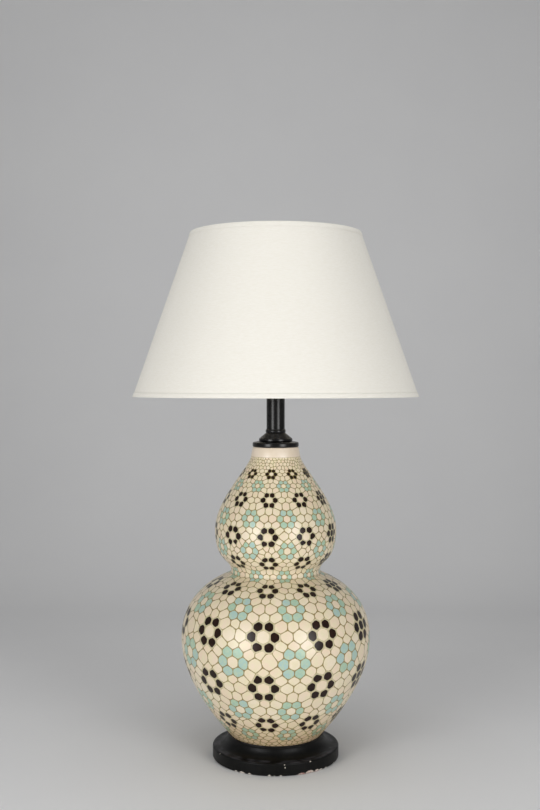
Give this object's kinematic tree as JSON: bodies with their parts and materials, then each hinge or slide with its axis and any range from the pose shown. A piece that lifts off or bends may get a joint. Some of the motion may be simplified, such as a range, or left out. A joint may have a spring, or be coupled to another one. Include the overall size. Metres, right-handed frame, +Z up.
{
  "type": "table lamp",
  "caption": "Table lamp with a double gourd ceramic body in a hexagon tile flower pattern, a turned black wooden base and an ivory empire shade on a harp.",
  "frame": {"origin": "middle of the base, on the table", "axes": "+Z up along the lamp's axis, -Y to the front (switch knob), +Y to the back (cord inlet), harp in the XZ plane"},
  "size_m": [0.3808, 0.3807, 0.711],
  "materials": {
    "felt": "dark felt",
    "black_wood": "satin black paint with chips at the lower edge",
    "glazed_tile_pattern": "glossy glaze over a painted hexagon tile flower pattern",
    "black_metal": "gloss black",
    "steel": "zinc plated",
    "brass": "brass plated, satin",
    "switch_plastic": "black moulded",
    "knob_plastic": "black moulded, semi-gloss",
    "liner_board": "plain fibre",
    "aluminium": "plain",
    "bulb_white": "frosted white",
    "bulb_black_glass": "black glass",
    "shade_fabric": "fine ivory weave",
    "shade_lining": "white styrene",
    "trim_tape": "ivory tape"
  },
  "bodies": {
    "lamp_base": {"felt_pad": "felt", "base_plinth": "black_wood", "cord_bushing": "switch_plastic", "base_washer": "steel", "lock_nut": "steel", "threaded_pipe": "steel", "gourd_body": "glazed_tile_pattern", "vase_cap": "black_metal", "neck_flare": "black_metal", "neck_bead": "black_metal", "neck_tube": "black_metal", "check_ring": "black_metal", "harp_saddle": "brass", "socket_cap": "brass", "set_screw": "brass", "socket_shell": "brass", "socket_liner": "liner_board", "socket_core": "switch_plastic", "terminal_screws": "brass", "screw_shell": "aluminium", "centre_contact": "brass"},
    "knob": {"switch_spindle": "brass", "turn_knob": "knob_plastic"},
    "bulb": {"bulb_glass": "bulb_white", "bulb_screw_base": "aluminium", "bulb_insulator": "bulb_black_glass", "bulb_contact": "steel"},
    "harp": {"harp_wire": "brass", "harp_stud": "brass"},
    "left_sleeve": {"sleeve_left": "brass"},
    "right_sleeve": {"sleeve_right": "brass"},
    "shade": {"spider_hub": "brass", "spider_arm_1": "brass", "spider_arm_2": "brass", "spider_arm_3": "brass", "shade_top_ring": "brass", "shade_bottom_ring": "brass", "shade_cover": "shade_fabric", "shade_lining": "shade_lining", "top_trim": "trim_tape", "bottom_trim": "trim_tape"},
    "finial": {"finial_base": "black_metal", "finial_knob": "black_metal"}
  },
  "joints": [
    {"name": "knob_turn", "type": "hinge", "parent": "lamp_base", "child": "knob", "pos_m": [0, -0.028, 0.529], "axis": [0, 1, 0], "continuous": true},
    {"name": "bulb_turn", "type": "hinge", "parent": "lamp_base", "child": "bulb", "pos_m": [0, 0, 0.56], "axis": [0, 0, 1], "range_deg": [0, 1350]},
    {"name": "harp_lift", "type": "slide", "parent": "lamp_base", "child": "harp", "axis": [0, 0, 1], "range_m": [0, 0.03]},
    {"name": "sleeve_left_slide", "type": "slide", "parent": "harp", "child": "left_sleeve", "axis": [0, 0, 1], "range_m": [0, 0.012]},
    {"name": "sleeve_right_slide", "type": "slide", "parent": "harp", "child": "right_sleeve", "axis": [0, 0, 1], "range_m": [0, 0.012]},
    {"name": "shade_turn", "type": "hinge", "parent": "harp", "child": "shade", "pos_m": [0, 0, 0.6842], "axis": [0, 0, 1], "continuous": true},
    {"name": "finial_turn", "type": "hinge", "parent": "harp", "child": "finial", "pos_m": [0, 0, 0.69], "axis": [0, 0, 1], "range_deg": [0, 2430]}
  ]
}
